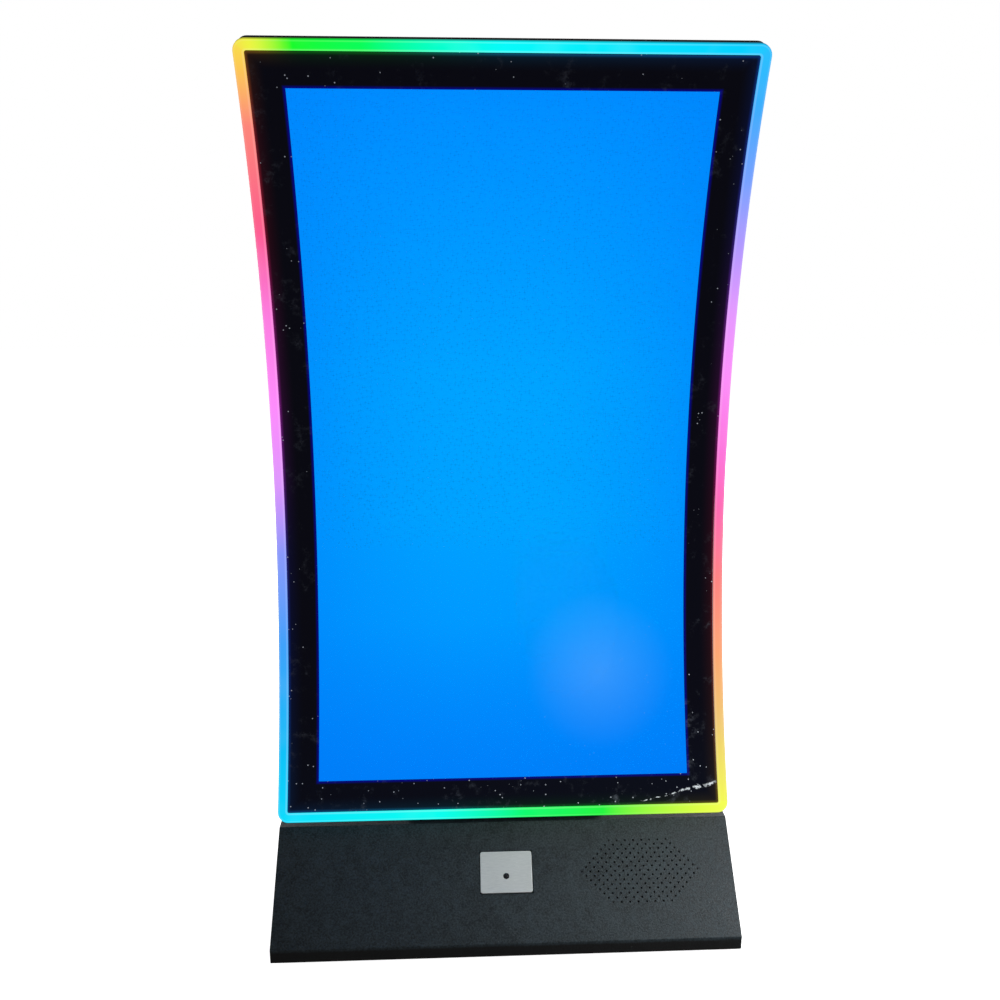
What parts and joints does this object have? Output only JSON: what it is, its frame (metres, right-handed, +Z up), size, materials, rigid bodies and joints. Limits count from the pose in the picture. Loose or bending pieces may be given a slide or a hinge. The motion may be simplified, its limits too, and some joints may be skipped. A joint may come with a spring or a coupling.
{
  "type": "video poker machine",
  "caption": "Countertop gaming machine: upright curved touch display with a lit edge frame, standing on a sloping steel console with a push button and a speaker.",
  "frame": {"origin": "on the supporting surface, under the middle of the machine's outline", "axes": "+X to the right seen from the player, +Y away from the player, +Z up"},
  "size_m": [0.6414, 0.3059, 1.1831],
  "materials": {
    "console_coat": "fine-textured black powder coat",
    "housing_coat": "satin black powder coat",
    "zinc_steel": "galvanised sheet",
    "frame_aluminium": "mill finish",
    "light_guide": "white light guide in a bright tray",
    "bright_steel": "bright plated",
    "foot_rubber": "matt black",
    "lead_sheath": "matt black sheath",
    "halo_acrylic": "frosted acrylic, lit from behind in rainbow colours",
    "touch_pane": "clear glass with a black printed border",
    "picture_panel": "lit, plain blue picture",
    "foam_tape": "closed-cell foam",
    "led_strip": "white flexible circuit with light chips",
    "circuit_board": "green solder mask",
    "button_silver": "fine satin silver",
    "lens_dark": "dark smoked lens",
    "black_plastic": "moulded black",
    "grey_plastic": "moulded grey",
    "surround_rubber": "soft black rubber",
    "cone_paper": "pressed black paper",
    "magnet_ferrite": "ferrite"
  },
  "bodies": {
    "machine": {"base_shell": "console_coat", "neck_cover": "console_coat", "neck_bracket_left": "console_coat", "neck_bracket_right": "console_coat", "monitor_housing": "housing_coat", "rear_cover": "housing_coat", "bottom_plate": "zinc_steel", "board_plate": "zinc_steel", "mid_frame": "frame_aluminium", "power_supply": "frame_aluminium", "backlight_unit": "light_guide", "board_post_1": "bright_steel", "board_post_2": "bright_steel", "board_post_3": "bright_steel", "board_post_4": "bright_steel", "button_spring": "bright_steel", "hinge_fixed_leaf": "bright_steel", "hinge_pin": "bright_steel", "fan_guard": "bright_steel", "foot_left_front": "foot_rubber", "foot_right_front": "foot_rubber", "foot_left_rear": "foot_rubber", "foot_right_rear": "foot_rubber", "display_cable": "lead_sheath", "speaker_lead": "lead_sheath", "button_lead": "lead_sheath", "mains_lead": "lead_sheath", "halo_diffuser": "halo_acrylic", "touch_glass": "touch_pane", "lcd_panel": "picture_panel", "glass_gasket": "foam_tape", "led_strip_left": "led_strip", "led_strip_right": "led_strip", "led_strip_top": "led_strip", "led_strip_bottom": "led_strip", "game_board": "circuit_board", "audio_amplifier": "circuit_board", "display_driver_board": "circuit_board", "halo_controller": "circuit_board", "button_housing": "black_plastic", "fan_frame": "black_plastic", "power_inlet": "black_plastic", "speaker_basket": "black_plastic", "switch_body": "grey_plastic", "speaker_surround": "surround_rubber", "speaker_magnet": "magnet_ferrite"},
    "play_button": {"play_button": "button_silver", "button_lens": "lens_dark"},
    "switch_plunger": {"switch_plunger": "black_plastic"},
    "service_door": {"service_door": "console_coat", "hinge_moving_leaf": "bright_steel", "lock_body": "bright_steel"},
    "lock_cylinder": {"lock_cylinder": "bright_steel"},
    "fan_rotor": {"fan_rotor": "black_plastic"},
    "power_rocker": {"power_rocker": "black_plastic"},
    "speaker_cone": {"speaker_cone": "cone_paper"}
  },
  "joints": [
    {"name": "play_button_press", "type": "slide", "parent": "machine", "child": "play_button", "axis": [0, 0.7254, -0.6884], "range_m": [0, 0.0035], "stiffness_N_per_m": 300, "springref_m": -0.004, "deforming": ["button_spring"]},
    {"name": "switch_plunger_press", "type": "slide", "parent": "machine", "child": "switch_plunger", "axis": [0, 0.7254, -0.6884], "range_m": [0, 0.0035]},
    {"name": "service_door_swing", "type": "hinge", "parent": "machine", "child": "service_door", "pos_m": [-0.211, 0.1501, 0.075], "axis": [0, 0, 1], "range_deg": [0, 110]},
    {"name": "lock_turn", "type": "hinge", "parent": "service_door", "child": "lock_cylinder", "pos_m": [0.088, 0.14, 0.075], "axis": [0, -1, 0], "range_deg": [0, 90]},
    {"name": "fan_spin", "type": "hinge", "parent": "machine", "child": "fan_rotor", "pos_m": [0.165, 0.13, 0.073], "axis": [0, 1, 0], "continuous": true},
    {"name": "power_rocker_tip", "type": "hinge", "parent": "machine", "child": "power_rocker", "pos_m": [0.262, 0.145, 0.0865], "axis": [-1, 0, 0], "range_deg": [0, 16]},
    {"name": "speaker_cone_move", "type": "slide", "parent": "machine", "child": "speaker_cone", "axis": [0, -0.7254, 0.6884], "range_m": [-0.001, 0.001], "stiffness_N_per_m": 2500}
  ],
  "couplings": [
    {"joint": "switch_plunger_press", "follows": "play_button_press", "ratio": 1}
  ]
}
